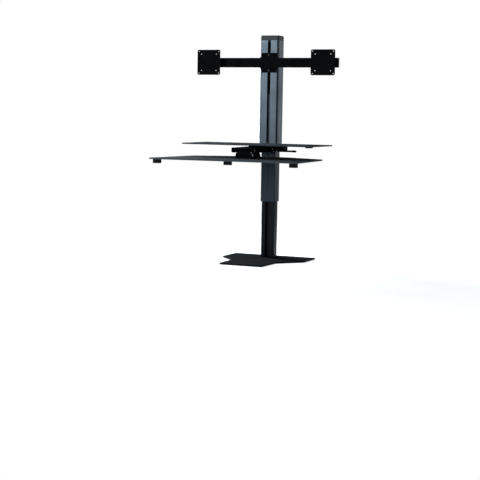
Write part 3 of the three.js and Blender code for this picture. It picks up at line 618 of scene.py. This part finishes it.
def fuse(piece, *others):
    """Joins other closed pieces to this one as a single skin."""
    for other in others:
        modifier = piece.modifiers.new("join", "BOOLEAN")
        modifier.operation = "UNION"
        modifier.solver = "EXACT"
        modifier.object = other
        bpy.context.view_layer.update()
        apply_modifiers(piece)
        bpy.data.objects.remove(other)


def smooth(piece):
    """Smooth shading with crisp real corners and flat broad faces."""
    for polygon in piece.data.polygons:
        polygon.use_smooth = True
    piece.data.set_sharp_from_angle(angle=SHARP)
    modifier = piece.modifiers.new("even_normals", "WEIGHTED_NORMAL")
    modifier.keep_sharp = True
    return piece


def stand_in(piece, *nodes, material=None):
    """The piece stands for CAD nodes of one body: it takes their body, slot and material."""
    slot = SLOT_OF[nodes[0]]
    piece.data.materials.clear()
    piece.data.materials.append(MATERIALS[material or slot])
    smooth(piece)
    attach(piece, BODY_OF[nodes[0]])
    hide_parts(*nodes)
    REPLACED.update(nodes)
    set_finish(piece, slot)
    return piece


def detail(piece, body, slot, material=None):
    """An extra piece that the CAD has no node for."""
    piece.data.materials.clear()
    piece.data.materials.append(MATERIALS[material or slot])
    smooth(piece)
    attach(piece, body)
    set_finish(piece, slot)
    return piece


def keep_node(node, edge=0.4 * MM, material=None):
    """A CAD node stays, with soft edges and its material."""
    shown = NODES[node]
    mesh = shown.data
    if mesh.has_custom_normals:
        mesh.attributes.remove(mesh.attributes["custom_normal"])
    for polygon in mesh.polygons:
        polygon.use_smooth = True
    weld = shown.modifiers.new("weld", "WELD")
    weld.merge_threshold = 1e-6
    planar = shown.modifiers.new("planar", "DECIMATE")
    planar.decimate_type = "DISSOLVE"
    planar.angle_limit = math.radians(0.5)
    bevel = shown.modifiers.new("soft_edges", "BEVEL")
    bevel.width = edge
    bevel.segments = 2
    bevel.limit_method = "ANGLE"
    bevel.angle_limit = SHARP
    bevel.harden_normals = True
    weighted = shown.modifiers.new("even_normals", "WEIGHTED_NORMAL")
    weighted.keep_sharp = True
    mesh.materials.clear()
    mesh.materials.append(MATERIALS[material or SLOT_OF[node]])
    shown["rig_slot"] = SLOT_OF[node]


def prism_of(node, axis, edge=SOFT_EDGE, top_edge=None, side=1):
    """The same prism as a CAD node's, rebuilt from its end outline with soft edges."""
    low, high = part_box(node)
    return prism(node + "_skin", section(node, axis, side), axis, low[axis], high[axis], edge, top_edge)


# ------------------------------------------------------------------ pieces made anew

def make_mid_column():
    """The middle tube with its row of round holes cut through the front wall."""
    low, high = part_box("mid_column")
    loops = section("mid_column", 2)
    tube = prism("mid_column_skin", loops, 2, low.z, high.z, 0.3 * MM)
    wall = min(p.y for p in loops[1]) - low.y
    first = low.z + HOLE_PITCH
    drill = [(0, -wall), (HOLE_RADIUS, -wall), (HOLE_RADIUS, wall), (0, wall)]

    def drills(data):
        for index in range(HOLE_COUNT):
            centre = (0, low.y + wall / 2, first + index * HOLE_PITCH)
            add_turned(data, drill, 1, centre, HOLE_STEPS)

    carve(tube, build("drills", drills))
    stand_in(tube, "mid_column", material="mid_column_paint")


def make_cap():
    """The mast's cap: a body with a seam round it and a lower crown set in from its edge."""
    low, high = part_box("mast_top_cap")
    seam = (low.z + high.z) / 2
    shoulder = high.z - CAP_CROWN
    levels = soft_levels(low.z, shoulder, 0.3 * MM, 0.8 * MM)
    groove = groove_levels(seam, 0.5 * MM, 0.3 * MM, 0.6 * MM)
    top = [(shoulder, CAP_STEP), (high.z - 0.8 * MM, CAP_STEP),
           (high.z - 0.25 * MM, CAP_STEP + 0.25 * MM), (high.z, CAP_STEP + 0.8 * MM)]
    half = len(levels) // 2
    loop = section("mast_top_cap", 2, side=-1)[0]
    rings = levels[:half] + groove + levels[half:] + top
    cap = build("mast_top_cap_skin", lambda data: loft(data, [softened(loop, SOFT_EDGE)], 2, rings))
    stand_in(cap, "mast_top_cap")


def make_foot(node):
    """A tray foot: a rounded block with a groove round it and a soft lower edge."""
    low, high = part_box(node)
    waist = low.z + FOOT_WAIST * (high.z - low.z)
    levels = soft_levels(low.z, high.z, 1.2 * MM, 0.4 * MM)
    groove = groove_levels(waist, 0.9 * MM, 0.5 * MM, 0.8 * MM)
    half = len(levels) // 2
    loops = [softened(loop, SOFT_EDGE) for loop in section(node, 2)]
    foot = build(node + "_skin", lambda data: loft(data, loops, 2, levels[:half] + groove + levels[half:]))
    stand_in(foot, node)


def make_pin(node, axis, steps, soft=0.5 * MM):
    """A turned piece from (radius in mm, share along the node's length) steps."""
    low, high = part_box(node)
    centre = (low + high) / 2
    centre[axis] = low[axis]
    length = high[axis] - low[axis]
    profile = [(radius * MM, share * length) for radius, share in steps]
    pin = turned(node + "_skin", soft_profile(profile, soft), axis, centre)
    stand_in(pin, node)


def make_socket_screw(node, axis, radius, head_radius, head_height):
    """A screw with a rounded head and a hexagon socket in it."""
    low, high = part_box(node)
    centre = (low + high) / 2
    length = high[axis] - low[axis]
    centre[axis] = low[axis]
    shape = [(0, 0), (head_radius, 0), (head_radius, head_height),
             (radius, head_height), (radius, length), (0, length)]
    socket_depth = head_height * 0.6
    socket = [(0, -MM), (head_radius * 0.55, -MM), (head_radius * 0.55, socket_depth), (0, socket_depth)]
    screw = turned(node + "_skin", soft_profile(shape, 0.5 * MM), axis, centre, 32)
    carve(screw, turned("socket", socket, axis, centre, 6))
    stand_in(screw, node)


def make_lever():
    """The release lever: a hub, a bent round rod and the stub that the grip sits on."""
    low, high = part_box("lever_rod")
    grip_low, grip_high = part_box("lever_grip")
    y = (low.y + high.y) / 2
    joint = next(j for j in frame["record"]["behaviour"]["joints"] if j["name"] == "release_lever")
    z_high = joint["pos_m"][2]
    z_low = (grip_low.z + grip_high.z) / 2
    radius = 4.2 * MM
    start = low.x + 2 * MM
    end = grip_low.x - 0.3 * MM
    bend_start = low.x + 7 * MM
    bend_length = 17 * MM

    def middle(x):
        t = min(max((x - bend_start) / bend_length, 0), 1)
        return z_high + (z_low - z_high) * t * t * (3 - 2 * t)

    def sweep(data):
        rings = []
        for k in range(LEVER_STEPS + 1):
            x = start + (end - start) * k / LEVER_STEPS
            slope = math.atan((middle(x + 0.1 * MM) - middle(x - 0.1 * MM)) / (0.2 * MM))
            ring = []
            for n in range(ROUND_STEPS):
                angle = 2 * math.pi * n / ROUND_STEPS
                across = radius * math.sin(angle)
                ring.append(data.verts.new((x - across * math.sin(slope), y + radius * math.cos(angle),
                                            middle(x) + across * math.cos(slope))))
            rings.append(ring)
        for lower, upper in zip(rings, rings[1:]):
            for n in range(ROUND_STEPS):
                after = (n + 1) % ROUND_STEPS
                data.faces.new((lower[n], lower[after], upper[after], upper[n]))
        data.faces.new(rings[0])
        data.faces.new(list(reversed(rings[-1])))

    rod = build("lever_rod_skin", sweep)
    hub = [(0, 0), (6 * MM, 0), (6 * MM, 6 * MM), (0, 6 * MM)]
    stub_length = high.x - end + 2 * MM
    stub = [(0, 0), (2.6 * MM, 0), (2.6 * MM, stub_length), (0, stub_length)]
    fuse(rod, turned("hub", soft_profile(hub, 0.8 * MM), 0, (low.x, y, z_high)),
         turned("stub", stub, 0, (end - 2 * MM, y, z_low), 24))
    stand_in(rod, "lever_rod")

    length = grip_high.x - grip_low.x
    bore = high.x + 0.3 * MM - grip_low.x
    outer = 4.8 * MM
    inner = 2.9 * MM
    shape = [(0, bore), (inner, bore), (inner, 0), (outer - 0.3 * MM, 0), (outer, 1.5 * MM),
             (outer, length - 3.5 * MM), (outer * 0.8, length - 1.2 * MM),
             (outer * 0.4, length - 0.2 * MM), (0, length)]
    grip = turned("lever_grip_skin", soft_profile(shape, 0.7 * MM), 0, (grip_low.x, y, z_low))
    stand_in(grip, "lever_grip")


def make_knob(node):
    """A clamp knob with eight soft lobes, on a threaded stud."""
    low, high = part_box(node)
    centre = ((low.x + high.x) / 2, (low.y + high.y) / 2, low.z)
    height = high.z - low.z
    stud = height - 3.85 * MM
    outer = (high.x - low.x) / 2
    shape = soft_profile([(0, 0), (outer * 0.7, 0), (outer, 2.5 * MM), (outer, 9.5 * MM), (5 * MM, 13.5 * MM),
                          (5 * MM, stud), (2.5 * MM, stud), (2.5 * MM, height), (0, height)], 0.8 * MM)

    def fill(data):
        add_turned(data, shape, 2, centre, 64)
        for vertex in data.verts:
            offset = Vector((vertex.co.x - centre[0], vertex.co.y - centre[1]))
            if offset.length > 5.2 * MM:
                angle = math.atan2(offset.y, offset.x)
                share = (offset.length - 5.2 * MM) / (outer - 5.2 * MM)
                offset *= 1 - 0.09 * share * (1 - math.cos(KNOB_LOBES * angle))
                vertex.co.x = centre[0] + offset.x
                vertex.co.y = centre[1] + offset.y

    stand_in(build(node + "_skin", fill), node)


def make_tilt_bolt():
    """The tray's tilt bolt: a round shank with an oval head on the right."""
    low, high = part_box("tilt_bolt")
    oval_thick = 3.7 * MM
    axis_point = (low.x, (low.y + high.y) / 2, (low.z + high.z) / 2)
    length = high.x - low.x - 0.5 * MM
    radius = 3 * MM
    shape = soft_profile([(0, 0), (radius, 0), (radius, length), (0, length)], 0.5 * MM)
    shank = turned("tilt_bolt_skin", shape, 0, axis_point)
    oval = section("tilt_bolt", 0)[0]
    fuse(shank, prism("oval", [oval], 0, high.x - oval_thick, high.x, 0.8 * MM))
    stand_in(shank, "tilt_bolt")


def make_lead_screw():
    """The lift screw with its thread as closely spaced ridges."""
    low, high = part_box("lead_screw")
    crest = (high.x - low.x) / 2
    root = crest - 1.4 * MM
    length = high.z - low.z
    count = int(length / SCREW_PITCH)
    profile = [(0, 0), (root, 0)]
    for k in range(count):
        start = k * SCREW_PITCH + 0.5 * MM
        profile += [(root, start), (crest, start + 1 * MM), (crest, start + 3 * MM), (root, start + 4 * MM)]
    profile += [(root, length), (0, length)]
    centre = ((low.x + high.x) / 2, (low.y + high.y) / 2, low.z)
    stand_in(turned("lead_screw_skin", profile, 2, centre, 28), "lead_screw")


def add_box_cover():
    """A louvred cover with four small screws on the back of the control box."""
    low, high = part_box("control_box")
    middle = (low.x + high.x) / 2
    half = (high.x - low.x) / 2 - 5 * MM
    back = high.y
    thick = 1.2 * MM
    outline = [Vector((low.z + 20 * MM, middle - half)), Vector((high.z - 8 * MM, middle - half)),
               Vector((high.z - 8 * MM, middle + half)), Vector((low.z + 20 * MM, middle + half))]
    cover = prism("box_cover", [outline], 1, back - 0.4 * MM, back + thick, 0.5 * MM)
    detail(cover, "outer_stage", "plastic")

    def louvres(data):
        for k in range(LOUVRES):
            z = low.z + 60 * MM + k * LOUVRE_PITCH
            slat = [Vector((z, middle - half + 5 * MM)), Vector((z + 3 * MM, middle - half + 5 * MM)),
                    Vector((z + 3 * MM, middle + half - 5 * MM)), Vector((z, middle + half - 5 * MM))]
            loft(data, [softened(slat, 0.8 * MM)], 1,
                 soft_levels(back + thick - 0.2 * MM, back + thick + 1.4 * MM, 0.1 * MM, 0.9 * MM))

    detail(build("box_louvres", louvres), "outer_stage", "plastic")

    head = [(0, 0), (2.6 * MM, 0), (2.2 * MM, 1.2 * MM), (1.2 * MM, 1.3 * MM),
            (1.0 * MM, 0.5 * MM), (0, 0.4 * MM)]

    def heads(data):
        for z in (low.z + 27 * MM, high.z - 15 * MM):
            for x in (middle - half + 5 * MM, middle + half - 5 * MM):
                add_turned(data, head, 1, (x, back + thick - 0.1 * MM, z), 24)

    detail(build("box_screw_heads", heads), "outer_stage", "fastener_black")


add_camera()
add_studio()
add_floor()
MATERIALS = make_materials()
REPLACED = set()

REBUILT = [
    ("base_pad", 2, 0.3 * MM), ("base_plate", 2, 0.8 * MM), ("column_flange", 2, 0.6 * MM),
    ("lower_column", 2, 0.3 * MM), ("outer_mast", 2, 0.3 * MM), ("shelf_collar", 2, 1.5 * MM),
    ("upper_shelf", 2, 1.2 * MM), ("keyboard_tray", 2, 1.4 * MM),
    ("shelf_gusset_left", 0, 0.5 * MM), ("shelf_gusset_right", 0, 0.5 * MM),
    ("crossbar", 0, 0.3 * MM), ("crossbar_cap_left", 0, 0.8 * MM), ("crossbar_cap_right", 0, 0.8 * MM),
]
for node, axis, edge in REBUILT:
    stand_in(prism_of(node, axis, edge), node)
make_mid_column()
make_cap()
for node in ("tray_foot_1", "tray_foot_2", "tray_foot_3"):
    make_foot(node)
for node in ("base_screw_1", "base_screw_2", "base_screw_3", "base_screw_4"):
    make_socket_screw(node, 2, 2 * MM, 4.5 * MM, 3.1 * MM)
for node in ("carriage_bolt_upper", "carriage_bolt_lower"):
    make_socket_screw(node, 1, 3 * MM, 5 * MM, 3.7 * MM)
make_pin("arm_rear_pin", 0, [(0, 0), (4, 0), (4, 1), (0, 1)], 0.7 * MM)
bolt_low, bolt_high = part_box("front_pivot_bolt")
head_share = 2.6 * MM / (bolt_high.x - bolt_low.x)
make_pin("front_pivot_bolt", 0, [(0, 0), (3.8, 0), (3.8, head_share), (2.4, head_share),
                                 (2.4, 1 - head_share), (3.8, 1 - head_share), (3.8, 1), (0, 1)], 0.9 * MM)
for side in ("left", "right"):
    make_pin("tilt_pin_" + side, 0, [(0, 0), (2.5, 0), (2.5, 1), (0, 1)], 0.5 * MM)
    make_pin("pan_pin_" + side, 2, [(0, 0), (3, 0), (3, 45.9 / 48), (5, 45.9 / 48), (5, 1), (0, 1)], 0.7 * MM)
    make_knob("slider_knob_" + side)
make_lever()
make_tilt_bolt()
make_lead_screw()
make_pin("gear_motor", 2, [(0, 0), (13, 0), (13, 24 / 65), (15, 24 / 65), (15, 1), (0, 1)], 1.0 * MM)
add_box_cover()
for node in NODES:
    if node not in REPLACED:
        keep_node(node)
